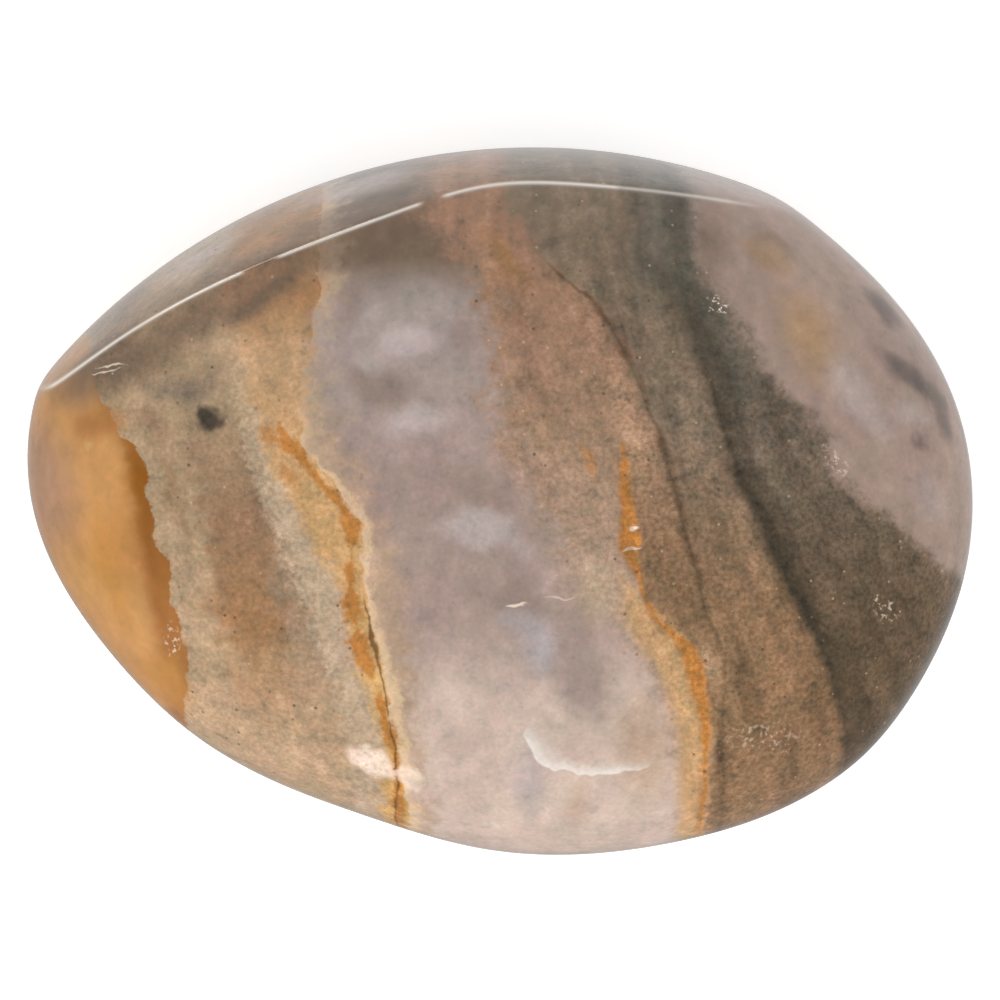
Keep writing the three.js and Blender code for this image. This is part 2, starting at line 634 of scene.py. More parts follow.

# The layers, from the amber tip to the broad end. Each covers all that lies beyond its seam.
# Many shades turn paler towards -Y and darker towards +Y: partly the wood's own colour, partly
# painted light that brightens the lower half.
BANDS = (
    Band(
        "amber heart",
        ((3.9, -15.8), (2.5, -15.1), (1.0, -14.7), (-1.6, -14.3), (-4.1, -13.8), (-7.5, -13.3)),
        ((4.0, Mineral.AMBER), (1.0, Mineral.BURNT_AMBER), (-5.5, Mineral.AMBER)),
        blend=0.9,
        ragged=0.15,
        sand=0.04,
    ),
    Band(
        "quartz sand",
        (
            (7.0, -16.6), (3.9, -15.7), (2.5, -15.0), (2.1, -14.3), (1.2, -14.1), (0.0, -13.8),
            (-1.9, -13.5), (-2.3, -13.0), (-4.1, -12.9), (-6.5, -12.3), (-8.5, -12.5),
        ),
        ((4.0, Mineral.QUARTZ_SAND), (0.0, Mineral.QUARTZ_SAND), (-8.0, Mineral.PALE_SAND)),
        blend=0.12,
        ragged=0.22,
        sand=0.5,
        jagged=True,
    ),
    Band(
        "rose sand",
        ((3.9, -13.3), (0.0, -11.9), (-3.9, -11.2), (-7.9, -10.2), (-9.7, -9.4)),
        (
            (4.0, Mineral.QUARTZ_SAND), (0.0, Mineral.ROSE_SAND), (-5.0, Mineral.RUST_SAND),
            (-9.5, Mineral.PALE_SAND),
        ),
        blend=1.6,
        ragged=0.9,
        sand=0.5,
    ),
    Band(
        "grey sand",
        ((3.9, -10.2), (0.0, -9.3), (-3.9, -8.8), (-7.9, -7.9), (-10.3, -6.9)),
        ((2.0, Mineral.QUARTZ_SAND), (-3.0, Mineral.GREY_SAND), (-10.0, Mineral.PALE_SAND)),
        blend=1.2,
        ragged=0.7,
        sand=0.5,
    ),
    Band(
        "limewash",
        ((3.9, -10.2), (0.0, -9.2), (-1.6, -8.6), (-3.9, -7.8), (-7.8, -6.5), (-10.2, -5.8)),
        ((4.0, Mineral.LIMEWASH), (-10.0, Mineral.LIMEWASH)),
        blend=0.9,
        ragged=0.4,
        sand=0.5,
    ),
    Band(
        "golden vein",
        (
            (8.0, -10.6), (5.9, -10.3), (2.9, -9.4), (0.9, -8.7), (-0.7, -7.8), (-2.3, -7.0),
            (-3.4, -6.3), (-6.7, -5.4), (-9.8, -4.6), (-12.0, -4.6),
        ),
        (
            (8.0, Mineral.RUST_SAND), (5.5, Mineral.CREAM_GOLD), (2.0, Mineral.GOLD),
            (-12.0, Mineral.STRAW),
        ),
        blend=0.9,
        ragged=0.5,
        sand=0.5,
    ),
    Band(
        "cream selvage",
        (
            (8.0, -7.1), (3.9, -7.8), (2.2, -7.8), (0.8, -6.6), (-0.4, -5.8), (-1.0, -5.3),
            (-2.3, -5.5), (-4.4, -5.1), (-7.8, -4.4), (-9.8, -4.2), (-12.2, -3.6),
        ),
        ((4.0, Mineral.CREAM_GOLD), (1.5, Mineral.CREAM), (-12.0, Mineral.CREAM)),
        blend=0.1,
        ragged=0.2,
        sand=0.25,
        jagged=True,
    ),
    Band(
        "fawn quartz",
        (
            (8.0, -6.9), (3.9, -7.5), (2.2, -7.5), (0.8, -6.3), (-1.0, -5.0), (-2.3, -5.2),
            (-4.4, -4.8), (-7.8, -4.0), (-12.2, -3.2),
        ),
        ((6.0, Mineral.LIMEWASH), (1.0, Mineral.FAWN), (-6.0, Mineral.FAWN)),
        blend=0.35,
        ragged=0.3,
        sand=0.25,
    ),
    Band(
        "mauve agate",
        (
            (8.4, -6.4), (5.9, -7.1), (3.9, -6.8), (0.0, -5.0), (-3.9, -3.8), (-7.8, -3.3),
            (-12.3, -2.8),
        ),
        (
            (9.5, Mineral.TAUPE), (7.5, Mineral.LAVENDER), (1.0, Mineral.MAUVE),
            (-4.5, Mineral.MAUVE), (-8.0, Mineral.SHELL),
        ),
        blend=1.6,
        ragged=0.8,
        sand=0.18,
    ),
    Band(
        "tan wood",
        (
            (11.2, -3.1), (9.8, -1.8), (5.9, -0.4), (2.0, 0.0), (0.0, 1.6), (-2.0, 2.3),
            (-3.9, 3.5), (-5.9, 5.5), (-9.8, 7.0), (-12.0, 7.4),
        ),
        ((8.0, Mineral.WARM_TAN), (3.0, Mineral.TAN_PINK), (-3.0, Mineral.PALE_FAWN)),
        blend=2.2,
        ragged=1.0,
        sand=0.6,
    ),
    Band(
        "bark wood",
        (
            (8.0, 2.5), (4.0, 4.3), (0.9, 4.8), (-2.0, 5.0), (-4.5, 6.1), (-6.8, 7.6), (-9.5, 8.1),
            (-12.6, 8.0),
        ),
        (
            (8.0, Mineral.WARM_TAN), (3.0, Mineral.TAN_PINK), (-2.0, Mineral.BARK),
            (-11.0, Mineral.BARK),
        ),
        blend=0.7,
        ragged=0.5,
        sand=0.9,
    ),
    Band(
        "olive wood",
        (
            (11.8, 0.3), (9.2, 2.0), (7.4, 4.0), (3.5, 5.9), (1.3, 6.7), (-1.7, 7.5), (-4.8, 8.3),
            (-8.3, 9.6),
        ),
        ((9.0, Mineral.OLIVE), (3.0, Mineral.OLIVE), (-4.0, Mineral.BARK)),
        blend=0.8,
        ragged=0.35,
        sand=0.9,
    ),
    Band(
        "moss wood",
        (
            (11.6, 6.0), (8.6, 6.5), (5.5, 7.9), (1.7, 9.1), (-0.5, 10.2), (-2.4, 10.9),
            (-5.1, 12.3), (-9.1, 13.9),
        ),
        ((9.0, Mineral.SLATE), (2.0, Mineral.GREEN_GREY), (-5.0, Mineral.BROWN_GREY)),
        blend=0.9,
        ragged=0.35,
        sand=0.9,
    ),
    Band(
        "pink agate",
        (
            (13.5, 6.6), (11.6, 7.5), (9.1, 7.9), (6.7, 9.6), (4.6, 10.6), (3.2, 12.4),
            (0.9, 13.4), (-1.1, 15.7), (-2.7, 17.7), (-4.0, 20.0),
        ),
        ((10.0, Mineral.PINK_AGATE), (0.0, Mineral.PINK_AGATE)),
        blend=1.3,
        ragged=0.45,
        sand=0.15,
    ),
)

# Soft stains in the layers, under the veins.
BROAD_STAINS = (
    # the amber tip
    Stain("rose skin", (-18.0, 0.6, 10), (2.4, 4.0, 7), 8, Mineral.ROSE_SKIN, 0.95, 0.8),
    Stain("rose rim", (-18.2, -4.4, 8), (1.2, 3.0, 5), 25, Mineral.PEACH, 0.8, 0.8),
    Stain("peach heart", (-15.7, 1.3, 13), (0.9, 1.6, 4), 10, Mineral.PEACH, 0.8, 0.9),
    Stain("honey", (-15.4, -2.6, 13), (1.1, 3.6, 4), 10, Mineral.HONEY, 0.9, 0.8),
    Stain("amber crown", (-15.6, 3.0, 12.5), (1.5, 1.1, 4), -10, Mineral.AMBER, 0.85, 0.8),
    Stain("brown selvage", (-12.9, 0.2, 13.5), (0.55, 3.2, 3), 12, Mineral.SELVAGE, 0.7, 0.8),
    Stain("rose shoulder", (-13.6, 3.1, 14), (1.4, 1.0, 3), -20, Mineral.ROSE_SAND, 0.6, 0.8),
    # glow: the amber's orange, with a painted glow of light shining through the translucent tip.
    Stain("glow", (-14.7, -1.4, 13.5), (0.7, 3.6, 4), 12, Mineral.ORANGE, 0.4, 0.9),
    Stain("honey foot", (-13.4, -7.3, 12), (1.6, 2.0, 4), 30, Mineral.HONEY, 0.85, 0.8),
    # the darker zone along the ridge: partly the stone's own taupe, partly painted shade on the
    # upper half
    Stain("dull zone", (-9.8, 8.4, 13), (9.0, 1.9, 6), 26, Mineral.TAUPE, 0.9, 0.7),
    Stain("dull corner", (-14.9, 5.3, 12), (4.2, 1.7, 5), 16, Mineral.TAUPE, 0.95, 0.7),
    Stain("wall taupe", (-15.0, 7.6, 10), (3.0, 1.6, 4), 30, Mineral.TAUPE, 0.6, 0.8),
    Stain("smoke under ridge", (-5.2, 9.8, 15), (3.6, 0.9, 3), 18, Mineral.SMOKE, 0.45, 0.8),
    Stain("smoke streak", (-9.6, 7.7, 15.3), (2.4, 0.45, 2), 30, Mineral.SMOKE, 0.6, 0.8),
    Stain("warm gap", (-9.9, 8.4, 14.8), (2.6, 0.7, 2.5), 22, Mineral.ROSE_SAND, 0.6, 0.8),
    Stain("moss haze", (-12.5, 4.3, 15), (2.2, 0.7, 2), -8, Mineral.MOSS_HAZE, 0.75, 0.8),
    # the agate in the middle
    Stain("lavender", (-3.4, 7.2, 15.7), (3.2, 1.8, 3), 5, Mineral.LAVENDER, 0.6, 0.7),
    Stain("dusk", (-4.6, 4.4, 16), (2.0, 1.1, 2.5), -25, Mineral.DUSK, 0.75, 0.7),
    Stain("dusk heart", (-1.0, 0.6, 16), (2.1, 1.3, 2.5), -30, Mineral.DUSK, 0.55, 0.8),
    Stain("dusk low", (0.9, -4.4, 16), (1.8, 1.2, 2.5), -40, Mineral.DUSK, 0.45, 0.8),
    Stain("high cloud", (-3.7, 6.25, 16), (1.6, 0.85, 2), 8, Mineral.CLOUD, 1.0, 0.65),
    Stain("high wisp", (-5.0, 5.4, 16), (1.1, 0.8, 2), -30, Mineral.CLOUD, 0.6, 0.9),
    Stain("dusk crown", (-6.0, 7.6, 15.8), (1.1, 1.5, 2.5), -20, Mineral.DUSK, 0.6, 0.8),
    Stain("dusk right", (-1.3, 6.3, 16), (0.8, 2.0, 2.5), 10, Mineral.DUSK, 0.45, 0.8),
    Stain("middle cloud", (-3.2, 3.0, 16), (1.9, 0.75, 2), 4, Mineral.CLOUD, 0.8, 0.7),
    Stain("low cloud", (-0.8, -1.1, 16), (2.1, 1.0, 2), -6, Mineral.CLOUD, 0.95, 0.65),
    Stain("low wisp", (0.8, -1.9, 16), (1.0, 0.7, 2), -40, Mineral.CLOUD, 0.6, 0.9),
    Stain("ice", (1.5, -5.8, 15.7), (1.0, 1.7, 2), 20, Mineral.ICE, 0.9, 0.8),
    Stain("ice crown", (0.6, -4.8, 15.8), (1.0, 0.6, 2), 0, Mineral.ICE, 0.6, 0.8),
    Stain("shell", (-0.2, -9.8, 13.5), (3.2, 3.2, 5), 0, Mineral.SHELL, 0.75, 0.9),
    Stain("fawn right", (5.6, -9.6, 13.5), (1.8, 3.2, 5), 0, Mineral.FAWN, 0.8, 0.9),
    Stain("lavender column", (1.1, -11.0, 13), (0.9, 2.6, 4), 5, Mineral.ICE, 0.5, 0.9),
    Stain("fawn column", (3.2, -12.0, 13), (0.8, 1.8, 4), -5, Mineral.FAWN, 0.5, 0.9),
    Stain("ash", (3.3, -6.8, 15), (1.8, 2.7, 3), 12, Mineral.ASH, 0.95, 0.7),
    Stain("green quartz", (3.7, -3.4, 15.9), (1.5, 2.6, 2.5), 12, Mineral.LIMEWASH, 0.65, 0.9),
    # the wood on the right
    Stain("rust streak", (0.2, 9.4, 15), (0.8, 2.2, 3), 25, Mineral.RUST_SAND, 0.85, 0.9),
    Stain("slate crown", (5.9, 9.8, 14), (1.7, 3.4, 5), 0, Mineral.SLATE, 0.75, 0.7),
    Stain("moss shoulder", (8.9, 5.4, 15), (1.3, 3.2, 3), 28, Mineral.SLATE, 0.85, 0.8),
    Stain("moss heart", (10.8, -1.0, 15.3), (1.0, 3.0, 3), 28, Mineral.MOSS, 0.55, 0.8),
    Stain("pale bark", (8.2, -6.4, 15), (0.6, 1.3, 2), 12, Mineral.QUARTZ_SAND, 0.45, 0.8),
    # the pink agate's clouds
    Stain("taupe patch", (10.5, 10.0, 13), (1.5, 0.9, 3), -25, Mineral.TAUPE, 0.7, 0.7),
    Stain("taupe veil", (8.4, 10.2, 13.5), (1.3, 2.4, 3), 5, Mineral.TAUPE, 0.6, 0.9),
    Stain("peach patch", (12.2, 6.7, 13.8), (1.6, 2.9, 3), 20, Mineral.PEACH_AGATE, 1.0, 0.9),
    Stain("ochre", (10.8, 9.7, 13.8), (1.8, 0.8, 3), -30, Mineral.PEACH_AGATE, 0.7, 0.9),
    Stain("pale agate", (14.3, 3.9, 14), (1.0, 3.2, 3), 35, Mineral.CLOUD, 0.6, 0.9),
    Stain("ink edge", (15.2, 7.6, 11), (1.4, 0.6, 3), -45, Mineral.INK, 0.9, 0.7),
    Stain("ink middle", (16.2, 4.85, 12), (2.1, 0.65, 3), -32, Mineral.INK, 1.0, 0.8),
    Stain("ink lavender", (16.0, 3.4, 12), (1.1, 0.8, 3), -20, Mineral.CLOUD, 0.5, 0.9),
    Stain("ink rim", (17.6, 3.4, 11), (0.7, 1.9, 3), 15, Mineral.INK, 0.8, 0.7),
    Stain("ink spot", (16.5, 2.3, 12.6), (0.6, 0.5, 2), 0, Mineral.INK, 0.8, 0.8),
    Stain("pearl low", (17.0, 0.2, 11.5), (1.3, 1.8, 3), 20, Mineral.CLOUD, 0.5, 0.9),
    # the crown wall
    # wall pearl left and wall pearl middle paint the pale reflection of the table on the steep
    # crown wall.
    Stain("wall pearl left", (-11.8, 9.6, 11), (2.6, 0.9, 3.5), 30, Mineral.CLOUD, 0.6, 0.8),
    Stain("wall rust", (-9.3, 10.3, 13), (2.0, 0.6, 2.0), 20, Mineral.RUST_SAND, 0.7, 0.7),
    Stain("wall pearl middle", (-5.6, 12.4, 11), (3.4, 1.0, 3.0), 15, Mineral.CLOUD, 0.6, 0.8),
    Stain("wall smoke", (-4.6, 11.9, 13.2), (2.2, 0.6, 1.4), 18, Mineral.SMOKE, 0.6, 0.7),
    Stain("wall amber", (-1.8, 12.9, 12.5), (1.1, 0.7, 2.0), 10, Mineral.RUST_SAND, 0.6, 0.7),
    Stain("wall slate", (6.0, 12.6, 12), (2.6, 1.0, 3.0), -12, Mineral.SLATE, 0.7, 0.7),
    # the underside
    Stain("under moss", (6.0, 4.0, 0), (5.0, 4.0, 4), 30, Mineral.GREEN_GREY, 0.6, 0.7),
    Stain("under cloud", (-5.0, -3.0, 0), (4.0, 5.0, 4), 20, Mineral.CLOUD, 0.5, 0.8),
    Stain("under rust", (0.5, 1.0, 0), (2.5, 6.0, 4), -15, Mineral.RUST_SAND, 0.5, 0.8),
    Stain("under dusk", (10.0, -6.0, 2), (4.0, 3.0, 3), 40, Mineral.DUSK, 0.5, 0.8),
)

# The dark line in the wood, beside which its old growth rings run.
MOSS_LINE = (
    (10.0, 6.9), (5.5, 8.0), (3.9, 8.5), (1.7, 9.15), (0.4, 9.7), (-0.5, 10.3), (-2.4, 11.0),
    (-5.1, 12.4), (-9.1, 13.8),
)

# Thin layers and lines, over the broad stains.
VEINS = (
    Vein(
        "orange core",
        (
            (2.9, -8.7), (1.0, -7.3), (-1.0, -5.8), (-2.5, -5.9), (-3.9, -5.8), (-6.0, -5.35),
            (-8.7, -4.5), (-12.0, -4.0),
        ),
        (
            (3.2, 0.0), (2.2, 0.35), (0.5, 0.15), (-1.2, 0.3), (-2.3, 0.1), (-4.2, 0.32),
            (-6.4, 0.25), (-7.2, 0.05), (-8.7, 0.25), (-10.5, 0.1), (-12.0, 0.2),
        ),
        Mineral.ORANGE,
        blend=0.3,
        ragged=0.7,
        strength=0.95,
    ),
    Vein(
        "core crack",
        ((-3.4, -5.5), (-4.4, -5.2), (-5.5, -4.95), (-6.8, -4.7), (-8.0, -4.45), (-11.0, -4.1)),
        ((-3.4, 0.0), (-4.5, 0.05), (-5.4, 0.09), (-6.4, 0.05), (-7.6, 0.02), (-11.0, 0.03)),
        Mineral.CRACK,
        blend=0.1,
        ragged=0.12,
        strength=0.85,
    ),
    Vein(
        "pale gold",
        ((-3.0, 4.7), (-4.5, 5.6), (-5.9, 6.5), (-7.3, 7.1), (-9.5, 7.6), (-12.6, 7.6)),
        ((-2.6, 0.0), (-4.2, 0.55), (-5.5, 0.9), (-7.3, 0.7), (-9.5, 0.6), (-12.6, 0.5)),
        Mineral.GOLD,
        blend=0.8,
        ragged=0.4,
        strength=0.9,
    ),
    Vein(
        "amber vein",
        (
            (2.3, 4.8), (0.9, 4.8), (-0.4, 5.0), (-1.6, 5.0), (-2.8, 5.3), (-4.5, 6.1),
            (-5.9, 7.3), (-7.3, 7.75), (-9.5, 8.1), (-12.6, 8.0),
        ),
        (
            (2.6, 0.0), (1.0, 0.2), (-0.6, 0.3), (-1.4, 0.4), (-2.4, 0.22), (-3.8, 0.08),
            (-5.2, 0.2), (-6.6, 0.38), (-8.0, 0.28), (-9.5, 0.14), (-12.6, 0.08),
        ),
        Mineral.ORANGE,
        blend=0.35,
        ragged=0.22,
        strength=0.95,
    ),
    Vein(
        "brown thread",
        (
            (11.8, 0.2), (9.2, 1.9), (7.4, 3.9), (3.5, 5.8), (1.3, 6.6), (-1.7, 7.4), (-4.8, 8.2),
            (-6.2, 8.8),
        ),
        (
            (11.8, 0.0), (9.0, 0.02), (7.5, 0.12), (4.0, 0.08), (1.5, 0.15), (-2.0, 0.08),
            (-6.2, 0.05),
        ),
        Mineral.UMBER,
        blend=0.35,
        ragged=0.3,
        strength=0.85,
    ),
    Vein(
        "brown hair",
        ((8.0, 4.5), (5.7, 5.1), (3.9, 5.8)),
        ((8.0, 0.0), (7.4, 0.05), (5.0, 0.06), (3.9, 0.04), (3.0, 0.0)),
        Mineral.UMBER,
        blend=0.2,
        ragged=0.2,
        strength=0.5,
    ),
    Vein(
        "moss halo",
        (
            (8.6, 6.9), (5.5, 8.3), (1.7, 9.4), (-0.5, 10.4), (-2.4, 11.2), (-5.1, 12.5),
            (-9.1, 14.0),
        ),
        ((10.0, 0.2), (6.0, 0.7), (2.0, 0.5), (-3.0, 0.4), (-9.1, 0.3)),
        Mineral.MOSS,
        blend=1.3,
        ragged=0.5,
        strength=0.55,
    ),
    Vein(
        "moss line",
        MOSS_LINE,
        ((6.5, 0.0), (3.5, 0.12), (1.0, 0.2), (-1.5, 0.32), (-3.5, 0.25), (-6.0, 0.2), (-9.1, 0.1)),
        Mineral.MOSS,
        blend=0.5,
        ragged=0.5,
        strength=0.95,
    ),
)

# Small spots of colour, over the veins.
SPOTS = (
    Stain("moss spot", (-11.5, 3.1, 15.4), (0.7, 0.6, 1.5), 0, Mineral.MOSS_SPOT, 1.0, 0.6, 0.2),
    Stain("orange dab", (3.5, 1.4, 16), (0.35, 1.0, 1), 8, Mineral.ORANGE, 0.5, 0.8, 0.6),
    Stain("orange fleck", (-9.2, 2.5, 15.5), (0.4, 0.6, 1), 30, Mineral.ORANGE, 0.6, 0.6, 0.6),
    Stain("orange fleck low", (-8.0, 0.9, 15.7), (0.4, 0.9, 1), 35, Mineral.ORANGE, 0.5, 0.8, 0.8),
    Stain("amber pit", (5.3, -1.4, 15.9), (0.6, 0.5, 1), 0, Mineral.ORANGE, 0.9, 0.5),
)

# Frayed milk-white marks: two pale cream patches beside the golden vein's foot, and dashes that are
# painted glints. Each has its name, middle, half sizes, turn, strength, softness and fraying.
PALE_PATCHES_AND_GLINT_DASHES = tuple(
    Stain(name, centre, half, turn, Mineral.MILK, strength, soft, frayed, Edge.FRAYED)
    for name, centre, half, turn, strength, soft, frayed in (
        ("milk left", (-5.1, -10.3, 13.4), (1.15, 0.55, 1.5), -33, 0.9, 0.3, 0.3),
        ("milk right", (-3.7, -10.9, 13.2), (0.85, 0.5, 1.5), -30, 0.75, 0.5, 0.4),
        # The dashes are painted glints.
        ("tip dash", (-15.4, 5.12, 13.3), (0.75, 0.06, 1), 0, 0.8, 0.6, 0.5),
        ("tip dash low", (-15.6, 4.92, 13.3), (0.7, 0.05, 1), 2, 0.7, 0.6, 0.5),
        ("pit dash", (5.3, -1.0, 15.9), (0.4, 0.13, 1), 8, 0.9, 0.5, 0.5),
        ("pit dash low", (5.1, -1.9, 15.9), (0.5, 0.1, 1), 0, 0.7, 0.6, 0.5),
        ("agate dash", (0.85, -4.3, 15.9), (0.5, 0.11, 1), 18, 0.95, 0.5, 0.4),
        ("agate dash right", (2.5, -3.75, 15.9), (0.8, 0.06, 1), 14, 0.4, 0.6, 0.6),
    )
)

# A curl of clear agate in the amber tip.
CURL = Stain("curl", (-16.3, 2.2, 13.0), (0.3, 0.22, 1.0), -30, Mineral.STRAW, 0.7, 0.5, 0.4)

# Painted glints: clusters of white specks that stand in for light glinting off tiny crystal faces.
GLINTS = (
    Stain("glint moss", (8.3, 7.75, 14.7), (0.5, 0.3, 1), -20, Mineral.MILK, 1.0),
    Stain("glint wood", (13.2, 1.5, 14.3), (0.7, 0.35, 1), -50, Mineral.MILK, 0.55),
    Stain("glint heel", (15.1, -4.4, 13.1), (0.6, 0.4, 1), -40, Mineral.MILK, 0.5),
    Stain("glint tip", (-13.0, -5.6, 13.2), (0.35, 0.9, 1), 10, Mineral.MILK, 0.6),
    Stain("heel sparkle", (10.6, -9.4, 13.4), (1.8, 0.6, 1), 0, Mineral.MILK, 0.3),
)

# A pale crescent with a sharp lower edge: a painted highlight.
PAINTED_CRESCENT = Stain("painted crescent", (4.05, -9.3, 14.0), (3.0, 1.55, 4), 0, Mineral.PEARL, 0.85, 0.4)


class PetrifiedWood:
    """Polished petrified wood: agate and quartz that took the place of the wood, layer by layer.

    It was tumbled with ever finer grit to a glassy gloss, so it shows sharp reflections, and the
    sandy layers break them up a little where crystals stand proud. The soft, broad stains lie on
    the mesh as one film, which is quick to render, and all else is drawn by nodes.
    """

    REACH_ALONG = 32.0  # the span of Y that a seam's curve covers
    REACH_ACROSS = 40.0  # the span of X that it covers
    REACH_WIDTH = 4.0  # the span of half widths
    LEAN_FROM = 9.0  # below this height the layers lean
    LEAN = (0.35, -0.15, 0.0)  # how far they then lean to each side for a millimetre down
    GRAIN_SIZE = 0.18  # one grain of the sandy layers
    FLECK_SIZE = 0.45  # the spacing of flecks and crystals
    RING_SIZE = 0.9  # the spacing of the wood's streaks
    RING_STRETCH = 6.0  # how many times longer they are than wide
    PATCH_SIZE = 0.7  # a stained patch in the sandy layers
    CLOUD_SCALE = (0.7, 0.28, 0.7)  # soft clouds in every layer, drawn out along the layers
    CRESCENT_OPENS = Vector((0.3, 0.95, 0.0))  # the side to which the painted crescent highlight fades
    FRAY = 0.2  # how far grains stray over the seam of a sandy layer
    WANDER = 0.45  # how many bends of the layers and stains there are to a millimetre
    FLOW = 1.6  # how far the noise bends the stains
    FILM_FLOW = 0.4  # the same for the film, whose noise spreads four times as far
    FILM_OCTAVES = 4  # how many sizes of bend the film's noise has
    SEED = 213  # keeps that noise the same each time
    PRESENT = 0.02  # the half width from which a vein shows in full
    COARSENING = (12.0, 2.0)  # the Y over which the grain goes from fine to coarse
    FINE = 0.3  # how strong the grain is where it is fine
    CLOUDY = (0.3, 0.7, 0.88, 1.12)  # the clouds' least and most noise, and the gains they give
    # How the colour varies with a noise's value, as gains on red, green and blue.
    TINTS = ((0.35, (0.98, 0.995, 0.97)), (0.65, (1.025, 0.99, 1.01)))
    PATCHES = (
        (0.3, (0.66, 0.67, 0.66)),
        (0.43, (0.94, 0.96, 0.93)),
        (0.55, (1.09, 1.02, 0.96)),
        (0.7, (1.3, 1.3, 1.32)),
    )
    STREAKS = ((0.32, (0.78, 0.77, 0.74)), (0.5, (1.0,) * 3), (0.68, (1.2, 1.18, 1.15)))
    GRAINS = ((0.26, (0.6, 0.56, 0.5)), (0.5, (1.0,) * 3), (0.74, (1.4, 1.42, 1.46)))
    # Flecks: their mineral, their reach, the chances that give none and a full one, their strength.
    FLECKS = ((Mineral.UMBER, 0.2, 0.7, 0.9, 0.8), (Mineral.CREAM, 0.16, 0.32, 0.12, 0.5))
    FLECK_CORE = 0.4  # how much of a fleck's reach is its full middle
    PATCHY = (0.8, 0.25)  # the sand at which patches are full, and how strong they are in none
    STREAKY = (0.45, 0.7)  # the sand at which the wood's streaks start, and are full
    FLECKED = (0.1, 0.5)  # the same for flecks
    GLINT_CLUSTER = (1.1, 0.6)  # the reach at which a cluster of painted glints starts, and is full
    GLINT_SPECK = (0.55, 0.62)  # the noise values between which a grain becomes a painted glint
    CRESCENT_RIM = (0.97, 1.02)  # the reach at which the painted crescent's sharp edge is full, and has ended
    CRESCENT_FADES = (0.3, 0.7)  # how far from its middle it starts, and is full as a share of its half
    GLOSS = 0.09  # the roughness of clear agate
    SANDY_GLOSS = 0.06  # how much rougher the sandy layers are
    RELIEF = 0.0015  # how far their grains stand proud
    IOR = 1.54  # quartz

    def __init__(self, name: str) -> None:
        """Makes the empty material.

        Args:
            name: The material's name.
        """
        self.material: Material = bpy.data.materials.new(name)
        self.material.use_nodes = True
        self.tree: NodeTree = self.material.node_tree
        self.tree.nodes.clear()

    def node(
        self, kind: str, links: dict[int | str, Socket], out: int | str = 0, **settings: object
    ) -> NodeSocket:
        """Adds a node to this material's tree, as add_node does."""
        return add_node(self.tree, kind, links, out, **settings)

    def build(self) -> Material:
        """Lays down the coordinates, layers, veins, stains, grain and gloss.

        Returns:
            The finished material.
        """
        self._coordinates()
        self.colour: Socket = linear(Mineral.PEACH.value)
        self.sand: Socket = BANDS[0].sand
        self.laid: float = BANDS[0].sand  # the sand of the layer that was laid last
        for band in BANDS:
            self._lay_band(band)
        self._lay_film()
        for vein in VEINS:
            self._lay_vein(vein)
        for stain in (*SPOTS, *PALE_PATCHES_AND_GLINT_DASHES, CURL):
            self._lay_stain(stain)
        self._mottle()
        self._rings()
        self._paint_crescent_highlight()
        self._grain()
        self._lay_glints()
        self._paint_ridge_highlight()
        self._finish()
        return self.material

    def stain(self, mesh: Mesh) -> None:
        """Lays the broad stains on a mesh as one film, which the material reads.

        The film's colour is what the stains add, and its alpha is how much shows through them.

        Args:
            mesh: The stone's mesh, in metres.
        """
        noise.seed_set(self.SEED)
        places = np.array([vert.co / METRES for vert in mesh.vertices])
        places += [
            self.FILM_FLOW
            * noise.turbulence_vector(Vector(place) * self.WANDER, self.FILM_OCTAVES, False)
            for place in places
        ]
        film = np.zeros((len(places), 4)) + (0.0, 0.0, 0.0, 1.0)
        for stain in BROAD_STAINS:
            turn = np.array(Matrix.Rotation(math.radians(stain.turn), 3, "Z"))
            reach = np.linalg.norm((places - stain.centre) @ turn / stain.half, axis=1)
            near = np.clip((1 - reach) / stain.soft, 0, 1)
            share = stain.strength * (near**2 * (3 - 2 * near))[:, None]
            film = film * (1 - share) + share * (*linear(stain.mineral.value)[:3], 0.0)
        layer = mesh.attributes.new("stain_film", "FLOAT_COLOR", "POINT")
        layer.data.foreach_set("color", film.astype(np.float32).ravel())

    def _coordinates(self) -> None:
        """Measures the place on the stone in millimetres, and the noise that breaks up edges."""
        here = self.node("TexCoord", {}, "Object")
        self.place = self.node("VectorMath", {0: here, 3: 1 / METRES}, operation="SCALE")
        height = self.node("SeparateXYZ", {0: self.place}, 2)
        sunk = self.node("Math", {0: self.LEAN_FROM, 1: height}, operation="SUBTRACT")
        sunk = self.node("Math", {0: sunk, 1: 0.0}, operation="MAXIMUM")
        leaning = self.node(
            "VectorMath", {0: sunk, 1: self.LEAN, 2: self.place}, operation="MULTIPLY_ADD"
        )
        links = {"Vector": self.place, "Scale": self.WANDER, "Detail": 3.0, "Roughness": 0.6}
        wander = self.node("TexNoise", links, "Color")
        self.tint = self.node("SeparateColor", {0: wander}, 1)
        centred = self.node("VectorMath", {0: wander, 1: (0.5,) * 3}, operation="SUBTRACT")
        moved = self.node(
            "VectorMath", {0: centred, 1: (0.5,) * 3, 2: leaning}, operation="MULTIPLY_ADD"
        )
        x, y, _ = self.node("SeparateXYZ", {0: moved}).node.outputs
        self.across = self.node(
            "Math", {0: x, 1: 1 / self.REACH_ACROSS, 2: 0.5}, operation="MULTIPLY_ADD"
        )
        self.along = self.node(
            "Math", {0: y, 1: 1 / self.REACH_ALONG, 2: 0.5}, operation="MULTIPLY_ADD"
        )
        self.flow = self.node(
            "VectorMath", {0: centred, 1: (self.FLOW,) * 3, 2: self.place}, operation="MULTIPLY_ADD"
        )
        self.turned: dict[float, NodeSocket] = {}
